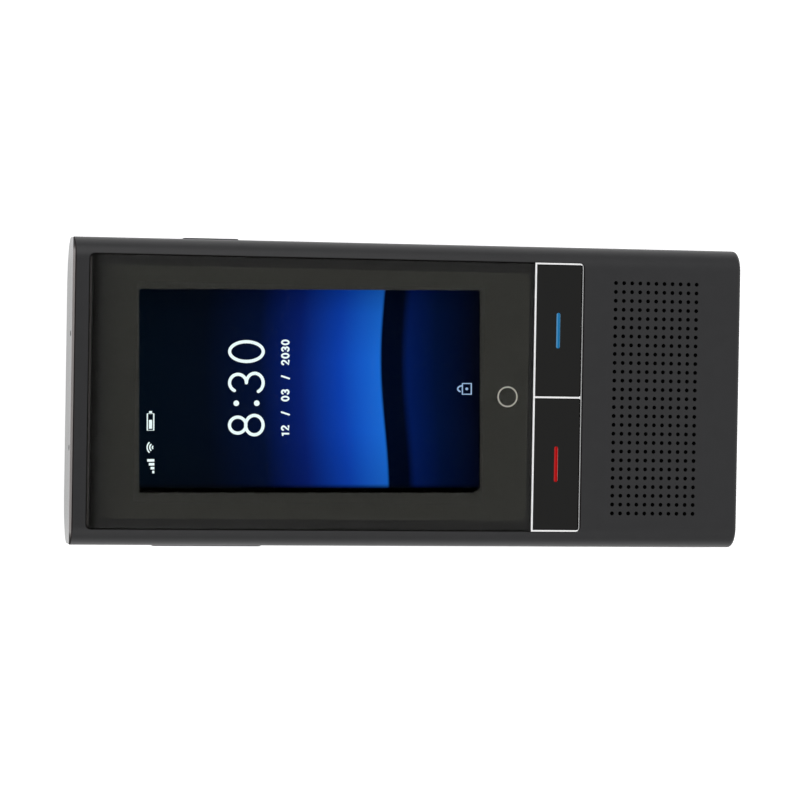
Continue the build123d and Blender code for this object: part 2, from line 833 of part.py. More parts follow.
# ---- Speaker ---------------------------------------------------------------------------------------------
def speaker_plate(inset, z, radius):
    x = speaker_half_x - inset
    y = speaker_half_y - inset
    return slab((-x, x), (grille_middle - y, grille_middle + y), z, radius)


def speaker_frame():
    frame = speaker_plate(0, (z_speaker, z_seal), speaker_lip)
    seat = speaker_plate(speaker_lip, (z_seal - diaphragm_seat_depth, z_seal), speaker_lip)
    well = speaker_plate(speaker_lip + diaphragm_step, (z_seal - speaker_recess, z_seal), speaker_lip)
    return frame - seat - well


def speaker_diaphragm():
    z = z_seal - diaphragm_seat_depth
    sheet = speaker_plate(speaker_lip, (z, z + diaphragm_thickness), speaker_lip)
    dome_inset = speaker_lip + 4 * diaphragm_step
    dome = speaker_plate(dome_inset, (z, z_seal - diaphragm_thickness / 4), 2 * diaphragm_step)
    return sheet + dome


def speaker_magnet():
    x = speaker_half_x - magnet_end_gap
    y = (grille_middle - magnet_width / 2, grille_middle + magnet_width / 2)
    return slab((-x, x), y, (z_magnet, z_speaker), speaker_lip)


def speaker_gasket():
    outer = speaker_plate(0, (z_seal, z_mesh), speaker_lip)
    return outer - speaker_plate(speaker_seal_width, (z_seal, z_mesh), speaker_lip / 2)


# ---- Bottom end ------------------------------------------------------------------------------------------
def sub_board():
    y = (sub_board_y, sub_board_y + sub_board_length)
    z = (z_sub_board - sub_board_thickness, z_sub_board)
    board = block((-sub_board_x, sub_board_x), y, z)
    return board - screw_holes(sub_post_places(), z_sub_board)


def usb_span():
    return y_bottom + usb_inset, grille_bottom - 2 * speaker_seal_width - usb_back_gap


def usb_socket():
    low, high = usb_span()
    shell = usb_outline(0, (low, high))
    return shell - usb_outline(-usb_wall, (low, high - usb_wall))


def usb_tongue():
    low, high = usb_span()
    half = usb_tongue_thickness / 2
    x = usb_tongue_width / 2
    return block((-x, x), (low + usb_wall, high - usb_wall), (usb_z - half, usb_z + half))


def board_flex():
    """Cable from the main board, under the speaker magnet's end, to the sub-board."""
    main = z_board - connector_height - flex_thickness / 2
    sub = z_sub_board + connector_height - flex_thickness / 2
    start = board_y[0] + flex_landing
    low = z_magnet - flex_thickness
    end = sub_board_y + sub_board_length - flex_landing
    drop = z_button_board - board_thickness - motor_height - 2 * flex_thickness
    path = [
        (start, main),
        (start - connector_length, main),
        (board_y[0] - flex_thickness, drop),
        (button_board_y, low),
        (end + connector_length, sub),
        (end, sub),
    ]
    return strip(path, flex_thickness, board_flex_x)


# ---- Battery and microphones -------------------------------------------------------------------------------
def battery():
    z = (shell_wall + battery_tape_thickness, z_shield - battery_clearance)
    return slab((-battery_x, battery_x), battery_y, z, battery_corner)


def battery_tape():
    inset = 2 * battery_corner
    x = battery_x - inset
    z = (shell_wall, shell_wall + battery_tape_thickness)
    return block((-x, x), (battery_y[0] + inset, battery_y[1] - inset), z)


def microphone_places():
    return [side * microphone_spacing / 2 for side in (-1, 1)]


def microphone_boots():
    boots = [rod_y(x, (cap_inside - boot_length, cap_inside), microphone_z, boot_radius)
             - rod_y(x, (cap_inside - boot_length, cap_inside), microphone_z, microphone_hole_radius)
             for x in microphone_places()]
    return boots[0] + boots[1]


def microphones():
    high = cap_inside - boot_length
    half_x = microphone_width / 2
    half_z = microphone_height / 2
    bodies = [block((x - half_x, x + half_x), (high - microphone_thickness, high),
                    (microphone_z - half_z, microphone_z + half_z)) for x in microphone_places()]
    return bodies[0] + bodies[1]


def microphone_flex():
    """Cable behind both microphones, with a tail under the main board."""
    face = cap_inside - boot_length - microphone_thickness
    reach = microphone_spacing / 2 + microphone_width / 2
    low = microphone_z - microphone_height / 2
    top = z_board - flex_thickness
    wall = block((-reach, reach), (face - flex_thickness, face), (low, top))
    tail = block((-battery_flex_half_width, battery_flex_half_width),
                 (board_y[1] - connector_length, face), (top, z_board))
    return wall + tail


def wireless_antenna():
    y = (cap_inside - antenna_length - fit_gap, cap_inside - fit_gap)
    z = (z_ceiling - antenna_thickness, z_ceiling)
    return block((-antenna_half_width, antenna_half_width), y, z)


def battery_flex():
    end = battery_y[1]
    cell = (z_shield - battery_clearance + shell_wall) / 2
    landing = z_board - connector_height - flex_thickness / 2
    path = [
        (end, cell),
        (end + battery_flex_lead, cell),
        (battery_plug_y, landing),
        (battery_plug_y + battery_plug_length, landing),
    ]
    return strip(path, flex_thickness, (-battery_flex_half_width, battery_flex_half_width))


def board_connectors():
    """Sockets for the display, battery and board-to-board cables."""
    under_main = (z_board - connector_height, z_board)
    lcd_x = (-lcd_flex_half_width, lcd_flex_half_width)
    lcd_y = module_y[0] + lcd_flex_landing
    lcd = block(lcd_x, (lcd_y - connector_length, lcd_y), under_main)
    cell_x = (-battery_flex_half_width, battery_flex_half_width)
    cell = block(cell_x, (battery_plug_y, battery_plug_y + battery_plug_length), under_main)
    start = board_y[0] + flex_landing
    main = block(board_flex_x, (start - connector_length, start), under_main)
    end = sub_board_y + sub_board_length - flex_landing
    on_sub = (z_sub_board, z_sub_board + connector_height - flex_thickness)
    sub = block(board_flex_x, (end, end + connector_length), on_sub)
    return lcd + cell + main + sub


def vibration_motor():
    z = z_button_board - board_thickness
    return post(motor_x, key_middle[1], (z - motor_height, z), motor_radius)


# ---- Write every part --------------------------------------------------------------------------------------
volume_nubs = (-volume_switch_spacing / 2, volume_switch_spacing / 2)
volume_parts = [mirror(side_plunger(nub), about=Plane.YZ) for nub in volume_nubs]
volume_bodies = [mirror(side_switch(nub), about=Plane.YZ) for nub in volume_nubs]

save("front_housing", front_housing())
save("rear_cover", rear_cover())
save("top_end_cap", top_end_cap())
save("cover_glass", cover_glass())
save("glass_mask", glass_mask())
save("home_ring", home_ring())
save("glass_tape", glass_tape())
save("screen_film", screen_film())
save("touch_sensor", module_sheet(0, (z_touch, z_mask)))
save("lcd_panel", module_sheet(0, (z_lcd, z_touch)))
save("lcd_backlight", module_sheet(0, (z_backlight, z_lcd)))
save("lcd_flex", lcd_flex())
save("mid_frame", mid_frame())
save("button_frame", button_frame())
save("blue_key", talk_key())
save("blue_mark", key_mark())
save("blue_plunger", key_plunger())
save("red_key", mirror(talk_key(), about=Plane.YZ))
save("red_mark", mirror(key_mark(), about=Plane.YZ))
save("red_plunger", mirror(key_plunger(), about=Plane.YZ))
save("button_board", button_board())
save("button_switches", button_switches())
save("power_key", side_key(power_key_length, [0]))
save("power_plunger", side_plunger(0))
save("power_switch", side_switch(0))
save("volume_rocker", mirror(side_key(volume_rocker_length, volume_nubs), about=Plane.YZ))
save("volume_plungers", volume_parts[0] + volume_parts[1])
save("volume_switches", volume_bodies[0] + volume_bodies[1])
save("main_board", main_board())
save("main_chips", main_chips())
save("shield_cans", shield_cans())
save("board_connectors", board_connectors())
save("sim_socket", sim_socket())
save("sim_tray", sim_tray())
save("battery", battery())
save("battery_tape", battery_tape())
save("battery_flex", battery_flex())
save("speaker_frame", speaker_frame())
save("speaker_diaphragm", speaker_diaphragm())
save("speaker_magnet", speaker_magnet())
save("speaker_gasket", speaker_gasket())
save("speaker_mesh", speaker_plate(0, (z_mesh, z_ceiling), speaker_lip))
save("sub_board", sub_board())
save("usb_socket", usb_socket())
save("usb_tongue", usb_tongue())
save("board_flex", board_flex())
save("vibration_motor", vibration_motor())
save("microphones", microphones())
save("microphone_boots", microphone_boots())
save("microphone_flex", microphone_flex())
save("wireless_antenna", wireless_antenna())
save("board_screws", board_screw_set(board_post_places(), z_board))
save("button_board_screws", board_screw_set(button_post_places(), z_button_board - board_thickness))
save("sub_board_screws", board_screw_set(sub_post_places(), z_sub_board - sub_board_thickness))
save("case_screws", screws(
    case_boss_places(), case_screw_seat, case_screw_seat + case_screw_length, case_screw_radius,
    case_screw_head, case_screw_head_height))
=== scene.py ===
import json
import math

import bmesh
import bpy
from mathutils import Matrix, Vector

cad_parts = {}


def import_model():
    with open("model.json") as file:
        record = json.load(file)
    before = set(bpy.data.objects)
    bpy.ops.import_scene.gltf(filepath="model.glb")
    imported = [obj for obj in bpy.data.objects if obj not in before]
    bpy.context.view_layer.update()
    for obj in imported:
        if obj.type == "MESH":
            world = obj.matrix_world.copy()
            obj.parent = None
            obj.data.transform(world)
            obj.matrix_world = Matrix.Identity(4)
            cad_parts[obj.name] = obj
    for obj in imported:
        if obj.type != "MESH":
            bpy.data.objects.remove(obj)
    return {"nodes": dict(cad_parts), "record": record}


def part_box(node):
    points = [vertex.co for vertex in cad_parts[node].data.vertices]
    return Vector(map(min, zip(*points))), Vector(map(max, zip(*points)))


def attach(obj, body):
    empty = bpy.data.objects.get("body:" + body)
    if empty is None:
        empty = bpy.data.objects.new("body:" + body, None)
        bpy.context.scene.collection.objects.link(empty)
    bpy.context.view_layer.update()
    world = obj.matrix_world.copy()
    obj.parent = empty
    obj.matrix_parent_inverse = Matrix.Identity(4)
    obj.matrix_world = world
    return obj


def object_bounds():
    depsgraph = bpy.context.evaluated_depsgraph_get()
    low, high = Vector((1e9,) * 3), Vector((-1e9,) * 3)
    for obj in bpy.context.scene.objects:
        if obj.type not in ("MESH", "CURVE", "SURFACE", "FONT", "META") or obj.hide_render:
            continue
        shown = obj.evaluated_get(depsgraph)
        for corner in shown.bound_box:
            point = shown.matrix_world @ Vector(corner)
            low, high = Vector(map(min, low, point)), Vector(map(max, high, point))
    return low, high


# A handheld voice translator lying on its back on a white table, in metres.
# +X is the width, +Y runs to the microphone end and the display faces +Z.

MM = 0.001
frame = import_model()
cad_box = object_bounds()
nodes = frame["nodes"]

# ---- Camera and room -----------------------------------------------------------------------------
CAMERA_PLACE = (10.45 * MM, 149.40 * MM, 683.25 * MM)
CAMERA_TURN = (-1.1585, -12.3328, -89.0154)   # degrees about X, Y and Z
CAMERA_LENS = 158.13                          # millimetres
SENSOR = 36.0                                 # millimetres
CEILING = 0.92                                # brightness of the room above the table
GLOW_SEEN, GLOW_MIRRORED = 0.72, 0.55         # light the table adds, as seen and as mirrored
TABLE_SIZE = 4.0

# ---- Screen picture ------------------------------------------------------------------------------
# Corners of the lit area, anticlockwise from the +X +Y one. The picture sits a little turned in its
# window. Each border runs from the corner of its number to the next.
LIT_OUTLINE = [Vector((x * MM, y * MM, 0)) for x, y in (
    (19.79, 54.29), (-19.44, 53.64), (-18.96, -12.70), (-17.99, -13.82), (20.81, -13.14))]
TOP_BORDER, LEFT_BORDER, RIGHT_BORDER = 0, 1, 4
LIT_LENGTH = 67.4 * MM
LIT_WIDTH = 39.4 * MM
LIT_TURN = 0.8                        # degrees about Z
LIT_MIDDLE = (0.55 * MM, 20.25 * MM)
DARK_STRIP = 1.1 * MM                 # unlit strip of the picture on its -X side
INK_LIFT = 0.01 * MM                  # drawn marks lie this far above the panel
INK_THICKNESS = 0.02 * MM

# ---- Glass and film ------------------------------------------------------------------------------
GROOVE_REACH = 0.27 * MM              # painted shade of the glue groove reaches this far beyond the glass
GROOVE_CORNER = 1.1 * MM
FILM_CORNER = 1.4 * MM
FILM_BORDER = (0.28 * MM, 0.18 * MM)  # the film's hazier border thins out between these depths
BORDER_HAZE = 1.5                     # haze of that border, as a share of the rest
FADE_LENGTH = 8.0 * MM                # the haze thins out over this length, to none at the +Y end
FADE_STOPS = ((0.0, 1.0), (0.22, 0.89), (0.36, 0.79), (0.5, 0.69), (0.65, 0.56), (0.75, 0.45),
              (0.9, 0.0))
END_FADE = 0.45                       # share of its mirroring the glass loses beyond the film's end
END_FADE_START = 1.0 * MM             # the loss starts this far inside the film's end
END_FADE_FULL = 0.2 * MM              # and is complete this far beyond it
END_STRIP = (0.5 * MM, 0.8 * MM)      # the last strip of the glass mirrors in full again


# ---- Node helpers --------------------------------------------------------------------------------
def new_material(name):
    material = bpy.data.materials.new(name)
    material.use_nodes = True
    tree = material.node_tree
    shader = tree.nodes["Principled BSDF"]
    return material, tree, shader


def add(tree, kind, **values):
    node = tree.nodes.new(kind)
    for key, value in values.items():
        setattr(node, key, value)
    return node


def place_of(tree):
    """Where the surface is, in the row frame, in metres."""
    return add(tree, "ShaderNodeTexCoord").outputs["Object"]


def noise(tree, size):
    """Noise whose lumps are about this large, in metres."""
    texture = add(tree, "ShaderNodeTexNoise")
    texture.inputs["Scale"].default_value = 1 / size
    texture.inputs["Detail"].default_value = 2.0
    tree.links.new(place_of(tree), texture.inputs["Vector"])
    return texture.outputs["Fac"]


def ramp(tree, fac, stops):
    """Colours along a value: stops are (position, colour)."""
    node = add(tree, "ShaderNodeValToRGB")
    elements = node.color_ramp.elements
    while len(elements) < len(stops):
        elements.new(0.5)
    for element, (position, colour) in zip(elements, stops):
        element.position = position
        element.color = (*colour, 1)
    tree.links.new(fac, node.inputs["Fac"])
    return node.outputs["Color"]


def math_node(tree, operation, a, b=None):
    node = add(tree, "ShaderNodeMath", operation=operation)
    for socket, value in zip(node.inputs, (a, b)):
        if value is None:
            continue
        if isinstance(value, (int, float)):
            socket.default_value = value
        else:
            tree.links.new(value, socket)
    return node.outputs["Value"]


def between(tree, value, low, high):
    """0 up to the low value, 1 from the high value on, and even in between."""
    share = add(tree, "ShaderNodeMapRange")
    share.inputs["From Min"].default_value = low
    share.inputs["From Max"].default_value = high
    tree.links.new(value, share.inputs["Value"])
    return share.outputs["Result"]


def axis_of(tree, axis):
    """One coordinate of the place, in metres."""
    split = add(tree, "ShaderNodeSeparateXYZ")
    tree.links.new(place_of(tree), split.inputs["Vector"])
    return split.outputs[axis]


def blended(tree, share, colour, other, kind="MIX"):
    """One colour over another by a share; each colour is a socket or a plain triple."""
    node = add(tree, "ShaderNodeMix", data_type="RGBA", blend_type=kind)
    for key, value in (("Factor", share), ("A", colour), ("B", other)):
        if isinstance(value, bpy.types.NodeSocket):
            tree.links.new(value, node.inputs[key])
        elif key == "Factor":
            node.inputs[key].default_value = value
        else:
            node.inputs[key].default_value = (*value, 1)
    return node.outputs["Result"]


def inset(tree, low, high, radius):
    """How far inside a rectangle a place lies, seen from above, up to the radius of its corners."""
    beyond = []
    for axis, start, end in (("X", low.x, high.x), ("Y", low.y, high.y)):
        place = axis_of(tree, axis)
        near = math_node(tree, "MINIMUM", math_node(tree, "SUBTRACT", place, start),
                         math_node(tree, "SUBTRACT", end, place))
        past = math_node(tree, "MAXIMUM", math_node(tree, "SUBTRACT", radius, near), 0.0)
        beyond.append(math_node(tree, "MULTIPLY", past, past))
    reach = math_node(tree, "SQRT", math_node(tree, "ADD", *beyond))
    return math_node(tree, "SUBTRACT", radius, reach)


def greys(*stops):
    """Grey stops for a ramp, from (position, brightness) pairs."""
    return [(position, (grey, grey, grey)) for position, grey in stops]


def tinted(colour, share):
    """The colour, brighter or darker by a share."""
    return tuple(c * share for c in colour)


def vary_colour(tree, shader, colour, size, spread):
    """The colour drifts a little, by a share, over lumps of this size."""
    stops = [(0.3, tinted(colour, 1 - spread)), (0.7, tinted(colour, 1 + spread))]
    tree.links.new(ramp(tree, noise(tree, size), stops), shader.inputs["Base Color"])


def grain(tree, shader, size, depth):
    """Fine moulded or cast texture: lumps of this size and depth, in metres."""
    bump = add(tree, "ShaderNodeBump")
    bump.inputs["Strength"].default_value = 1.0
    bump.inputs["Distance"].default_value = depth
    tree.links.new(noise(tree, size), bump.inputs["Height"])
    tree.links.new(bump.outputs["Normal"], shader.inputs["Normal"])


def vary_roughness(tree, shader, low, high, size):
    """The roughness drifts between two values over lumps of this size."""
    spread = add(tree, "ShaderNodeMapRange")
    spread.inputs["To Min"].default_value = low
    spread.inputs["To Max"].default_value = high
    tree.links.new(noise(tree, size), spread.inputs["Value"])
    tree.links.new(spread.outputs["Result"], shader.inputs["Roughness"])


def plastic(name, colour, roughness, texture=0.12 * MM, depth=0.002 * MM, spread=0.05,
            specular=0.5):
    material, tree, shader = new_material(name)
    shader.inputs["Specular IOR Level"].default_value = specular
    vary_colour(tree, shader, colour, 3 * MM, spread)
    vary_roughness(tree, shader, roughness * 0.92, roughness * 1.08, 1.5 * MM)
    grain(tree, shader, texture, depth)
    return material


def metal(name, colour, roughness, texture=0.3 * MM, depth=0.0005 * MM, spread=0.04):
    material = plastic(name, colour, roughness, texture, depth, spread)
    material.node_tree.nodes["Principled BSDF"].inputs["Metallic"].default_value = 1.0
    return material


def border_depth(tree, number):
    """How far a place lies inside one border of the lit area."""
    start = LIT_OUTLINE[number]
    along = (LIT_OUTLINE[(number + 1) % len(LIT_OUTLINE)] - start).normalized()
    inward = Vector((-along.y, along.x, 0))
    across = add(tree, "ShaderNodeVectorMath", operation="DOT_PRODUCT")
    across.inputs[1].default_value = inward
    tree.links.new(place_of(tree), across.inputs[0])
    return math_node(tree, "SUBTRACT", across.outputs["Value"], inward.dot(start))


def over_display(tree):
    """1 over the lit area of the display, 0 elsewhere."""
    depth = border_depth(tree, 0)
    for number in range(1, len(LIT_OUTLINE)):
        depth = math_node(tree, "MINIMUM", depth, border_depth(tree, number))
    return math_node(tree, "GREATER_THAN", depth, 0.0)


def clear(name, tint, roughness, ior):
    """Clear sheet that mirrors the room, less so beside its +Y end and not over the display.

    Lamps light what lies under it.
    """
    material, tree, shader = new_material(name)
    shader.inputs["Transmission Weight"].default_value = 1.0
    display = over_display(tree)
    index = add(tree, "ShaderNodeMapRange")
    index.inputs["To Min"].default_value = ior
    index.inputs["To Max"].default_value = 1.0
    y = axis_of(tree, "Y")
    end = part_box("cover_glass")[1].y
    film_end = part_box("screen_film")[1].y
    fading = between(tree, y, film_end - END_FADE_START, film_end + END_FADE_FULL)
    before_strip = between(tree, y, end - END_STRIP[0], end - END_STRIP[1])
    fading = math_node(tree, "MULTIPLY", fading, before_strip)
    fading = math_node(tree, "MULTIPLY", fading, END_FADE)
    tree.links.new(math_node(tree, "MAXIMUM", display, fading), index.inputs["Value"])
    tree.links.new(index.outputs["Result"], shader.inputs["IOR"])
    vary_colour(tree, shader, tint, 20 * MM, 0.01)
    vary_roughness(tree, shader, roughness * 0.9, roughness * 1.1, 6 * MM)
    uneven = shader.inputs["Roughness"].links[0].from_socket
    beside = math_node(tree, "SUBTRACT", 1.0, display)
    tree.links.new(math_node(tree, "MULTIPLY", uneven, beside), shader.inputs["Roughness"])
    path = add(tree, "ShaderNodeLightPath").outputs
    passes = math_node(tree, "MAXIMUM", path["Is Shadow Ray"], path["Is Diffuse Ray"])
    mix = add(tree, "ShaderNodeMixShader")
    tree.links.new(passes, mix.inputs["Fac"])
    tree.links.new(shader.outputs["BSDF"], mix.inputs[1])
    tree.links.new(add(tree, "ShaderNodeBsdfTransparent").outputs["BSDF"], mix.inputs[2])
    tree.links.new(mix.outputs["Shader"], tree.nodes["Material Output"].inputs["Surface"])
    return material


def veil(name, colour, cover, roughness):
    """Thin clear film: a small share of it is haze, which thins out towards +Y.

    The lit display outshines the haze over it.
    """
    material, tree, shader = new_material(name)
    stops = [(0.3, tinted(colour, 0.95)), (0.7, tinted(colour, 1.05))]
    hazy = ramp(tree, noise(tree, 8 * MM), stops)
    low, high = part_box("screen_film")
    border = between(tree, inset(tree, low, high, FILM_CORNER), *FILM_BORDER)
    hazy = blended(tree, border, hazy, tinted(colour, BORDER_HAZE))
    end = between(tree, axis_of(tree, "Y"), high.y - FADE_LENGTH, high.y)
    hazy = blended(tree, 1.0, hazy, ramp(tree, end, greys(*FADE_STOPS)), "MULTIPLY")
    haze = blended(tree, over_display(tree), hazy, (0, 0, 0))
    tree.links.new(haze, shader.inputs["Base Color"])
    shader.inputs["Alpha"].default_value = cover
    shader.inputs["Roughness"].default_value = roughness
    shader.inputs["Specular IOR Level"].default_value = 0.0
    return material


# ---- Materials -----------------------------------------------------------------------------------
def display_material():
    """Lit panel: night-to-blue fade with a broad dark wave across, black outside the lit area."""
    material, tree, shader = new_material("display")
    wave_angle, wave_height = 4.6, 0.012      # radians across the picture; share of its length
    across = math_node(tree, "DIVIDE", border_depth(tree, RIGHT_BORDER), LIT_WIDTH)
    along = math_node(tree, "DIVIDE", border_depth(tree, TOP_BORDER), LIT_LENGTH)
    swell = math_node(tree, "SINE", math_node(tree, "MULTIPLY", across, wave_angle))
    wave = math_node(tree, "MULTIPLY_ADD", swell, wave_height)
    tree.links.new(along, wave.node.inputs[2])
    stops = [
        (0.00, (0.0006, 0.0028, 0.0068)),
        (0.20, (0.0008, 0.0026, 0.0078)),
        (0.36, (0.0012, 0.0050, 0.0278)),
        (0.48, (0.0020, 0.0123, 0.1388)),
        (0.60, (0.0033, 0.0488, 0.4190)),
        (0.66, (0.0068, 0.0968, 0.5590)),
        (0.716, (0.0106, 0.1398, 0.6390)),
        (0.722, (0.0002, 0.0018, 0.0108)),
        (0.778, (0.0002, 0.0016, 0.0088)),
        (0.80, (0.0006, 0.0085, 0.0818)),
        (0.88, (0.0003, 0.0046, 0.0328)),
        (1.00, (0.0006, 0.0013, 0.0056)),
    ]
    picture = ramp(tree, wave, stops)
    rim = ramp(tree, across, greys((0.0, 0.55), (0.12, 0.82), (0.35, 1.0), (0.7, 1.0), (0.95, 0.8)))
    strip = between(tree, border_depth(tree, LEFT_BORDER), 0.8 * DARK_STRIP, 1.6 * DARK_STRIP)
    shown = math_node(tree, "MULTIPLY", strip, over_display(tree))
    shown = blended(tree, shown, (0, 0, 0), blended(tree, 1.0, picture, rim, "MULTIPLY"))
    tree.links.new(shown, shader.inputs["Emission Color"])
    shader.inputs["Emission Strength"].default_value = 1.04
    shader.inputs["Base Color"].default_value = (0, 0, 0, 1)
    shader.inputs["Roughness"].default_value = 0.12
    shader.inputs["Specular IOR Level"].default_value = 0.018
    return material


def mark_material(name, colour, flank_highlight, edge_highlight):
    """Colour mark: deep in the middle, with painted highlights: lighter on its glass side and pale
    on its grille side.
    """
    material, tree, shader = new_material(name)
    low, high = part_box(name)
    uneven = math_node(tree, "MULTIPLY_ADD", noise(tree, 0.6 * MM), 0.08)
    tree.links.new(between(tree, axis_of(tree, "Y"), low.y, high.y), uneven.node.inputs[2])
    # painted highlights: the ends of the ramp are lighter on the mark's two flanks
    stops = [(0.11, edge_highlight), (0.20, colour), (0.60, colour), (0.80, flank_highlight)]
    tree.links.new(ramp(tree, uneven, stops), shader.inputs["Base Color"])
    shader.inputs["Roughness"].default_value = 0.25
    shader.inputs["Specular IOR Level"].default_value = 0.02
    return material


def chrome_material():
    """Bright frame. Its thin bar beside the grille is painted darker: painted shade for the dimmer
    reflection on that bar.
    """
    shaded_bar_grey, bar_start, bar_end = 0.45, 0.2 * MM, 0.5 * MM
    material = metal("chrome", (0.97, 0.97, 0.97), 0.22)
    tree = material.node_tree
    shader = tree.nodes["Principled BSDF"]
    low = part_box("button_frame")[0].y
    # painted shade: the thin bar beside the grille gets a greyer colour for its dimmer reflection
    past_bar = between(tree, axis_of(tree, "Y"), low + bar_start, low + bar_end)
    bright = shader.inputs["Base Color"].links[0].from_socket
    painted_shade_bar = blended(tree, past_bar, (shaded_bar_grey, shaded_bar_grey, shaded_bar_grey), bright)
    tree.links.new(painted_shade_bar, shader.inputs["Base Color"])
    return material


def housing_material():
    """Satin plastic. Its wall over the end cap is browner.

    The top and corners of that wall and the glue groove are painted black and made dull: painted
    shade along that top edge, in those corners and down the glue groove.
    """
    wall_brown, painted_shade_black = (0.045, 0.020, 0.017), (0.004, 0.003, 0.003)
    material = plastic("housing", (0.0200, 0.0200, 0.0215), 0.40, specular=0.3)
    tree = material.node_tree
    shader = tree.nodes["Principled BSDF"]
    x, y, z = [axis_of(tree, axis) for axis in "XYZ"]
    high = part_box("front_housing")[1]
    at_end = between(tree, y, high.y - 0.2 * MM, high.y - 0.1 * MM)
    at_top = between(tree, z, high.z - 0.7 * MM, high.z - 0.6 * MM)
    at_side = between(tree, math_node(tree, "ABSOLUTE", x), high.x - 3.2 * MM, high.x - 1.4 * MM)
    glass, frame_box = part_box("cover_glass"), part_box("button_frame")
    reach = Vector((GROOVE_REACH, GROOVE_REACH, 0))
    low_corner = Vector((glass[0].x, frame_box[0].y, 0)) - reach
    groove = inset(tree, low_corner, glass[1] + reach, GROOVE_CORNER)
    # painted shade: black on the end wall's top strip and corners, and in the glue groove
    painted_shade = math_node(tree, "MULTIPLY", at_end, math_node(tree, "MAXIMUM", at_top, at_side))
    painted_shade = math_node(tree, "MAXIMUM", painted_shade, between(tree, groove, 0, 0.02 * MM))
    drifting = shader.inputs["Base Color"].links[0].from_socket
    colour = blended(tree, at_end, drifting, wall_brown)
    tree.links.new(blended(tree, painted_shade, colour, painted_shade_black), shader.inputs["Base Color"])
    uneven = shader.inputs["Roughness"].links[0].from_socket
    tree.links.new(math_node(tree, "MAXIMUM", uneven, painted_shade), shader.inputs["Roughness"])
    return material


def mask_material():
    """Black print under the glass, with a painted highlight along its microphone end: a paler line
    for the glint on the glass's edge.
    """
    painted_glint, line_start, line_end = (0.034, 0.031, 0.029), 0.45 * MM, 0.35 * MM
    material = plastic("mask", (0.003, 0.003, 0.0025), 0.5, spread=0.03, specular=0.0)
    tree = material.node_tree
    shader = tree.nodes["Principled BSDF"]
    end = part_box("cover_glass")[1].y
    # painted highlight: a paler line on the print, for the glint along the glass's microphone end
    line = between(tree, axis_of(tree, "Y"), end - line_start, end - line_end)
    print_colour = shader.inputs["Base Color"].links[0].from_socket
    tree.links.new(blended(tree, line, print_colour, painted_glint), shader.inputs["Base Color"])
    return material


def ink_material(name, colour, strength):
    """Lit marks on the display, very slightly uneven as pixels are."""
    material, tree, shader = new_material(name)
    stops = [(0.3, tinted(colour, 0.97)), (0.7, colour)]
    tree.links.new(ramp(tree, noise(tree, 0.1 * MM), stops), shader.inputs["Emission Color"])
    shader.inputs["Emission Strength"].default_value = strength
    shader.inputs["Base Color"].default_value = (0, 0, 0, 1)
    return material


def slot_materials():
    """Materials of the CAD's slots. Colours are linear."""
    return {
        "housing": housing_material(),
        "cap": plastic("cap", (0.020, 0.020, 0.021), 0.12, depth=0.0003 * MM),
        "glass": clear("glass", (0.98, 0.99, 0.985), 0.09, 1.222),
        "mask": mask_material(),
        "ring_print": plastic("ring_print", (0.50, 0.485, 0.42), 0.6, spread=0.03),
        "film": veil("film", (0.36, 0.365, 0.275), 0.02, 0.35),
        "display": display_material(),
        "chrome": chrome_material(),
        "key": plastic("key", (0.002, 0.002, 0.0015), 0.12, depth=0.0001 * MM, spread=0.03,
                       specular=0.226),
        "blue_mark": mark_material("blue_mark", colour=(0.010, 0.180, 0.430),
                                   flank_highlight=(0.100, 0.310, 0.570), edge_highlight=(0.24, 0.42, 0.54)),
        "red_mark": mark_material("red_mark", colour=(0.440, 0.003, 0.004),
                                  flank_highlight=(0.500, 0.026, 0.026), edge_highlight=(0.62, 0.38, 0.36)),
        "side_key": plastic("side_key", (0.030, 0.030, 0.032), 0.45),
        "adhesive": plastic("adhesive", (0.020, 0.020, 0.020), 0.7, texture=0.4 * MM,
                            depth=0.02 * MM),
        "board": plastic("board", (0.010, 0.070, 0.030), 0.35, texture=0.8 * MM, depth=0.004 * MM),
        "chip": plastic("chip", (0.020, 0.020, 0.020), 0.6),
        "steel": metal("steel", (0.55, 0.55, 0.55), 0.35),
        "flex": plastic("flex", (0.350, 0.130, 0.020), 0.3, texture=0.5 * MM),
        "cell": metal("cell", (0.30, 0.30, 0.31), 0.5, texture=1.2 * MM, depth=0.01 * MM),
        "moulding": plastic("moulding", (0.020, 0.020, 0.020), 0.5),
        "cone": plastic("cone", (0.050, 0.050, 0.050), 0.7, texture=0.5 * MM, depth=0.01 * MM),
        "mesh": plastic("mesh", (0.008, 0.008, 0.008), 0.9, texture=0.15 * MM, depth=0.02 * MM),
        "rubber": plastic("rubber", (0.020, 0.020, 0.020), 0.75),
    }


def dress_nodes():
    """Each CAD piece gets the material of its slot; the touch layer is clear under its glass."""
    materials = slot_materials()
    for part in frame["record"]["subparts"]:
        mesh = nodes[part["node"]].data
        mesh.materials.clear()
        mesh.materials.append(materials[part["material_slot"]])
    nodes["touch_sensor"].data.materials[0] = veil("touch_layer", (0.02, 0.02, 0.02), 0.02, 0.4)


# ---- Flat drawn marks ----------------------------------------------------------------------------
def arc(centre, radii, start, end, steps=24):
    """Points of an ellipse's arc between two angles in degrees."""
    points = []
    for step in range(steps + 1):
        angle = math.radians(start + (end - start) * step / steps)
        x = centre[0] + radii[0] * math.cos(angle)
        y = centre[1] + radii[1] * math.sin(angle)
        points.append((x, y))
    return points


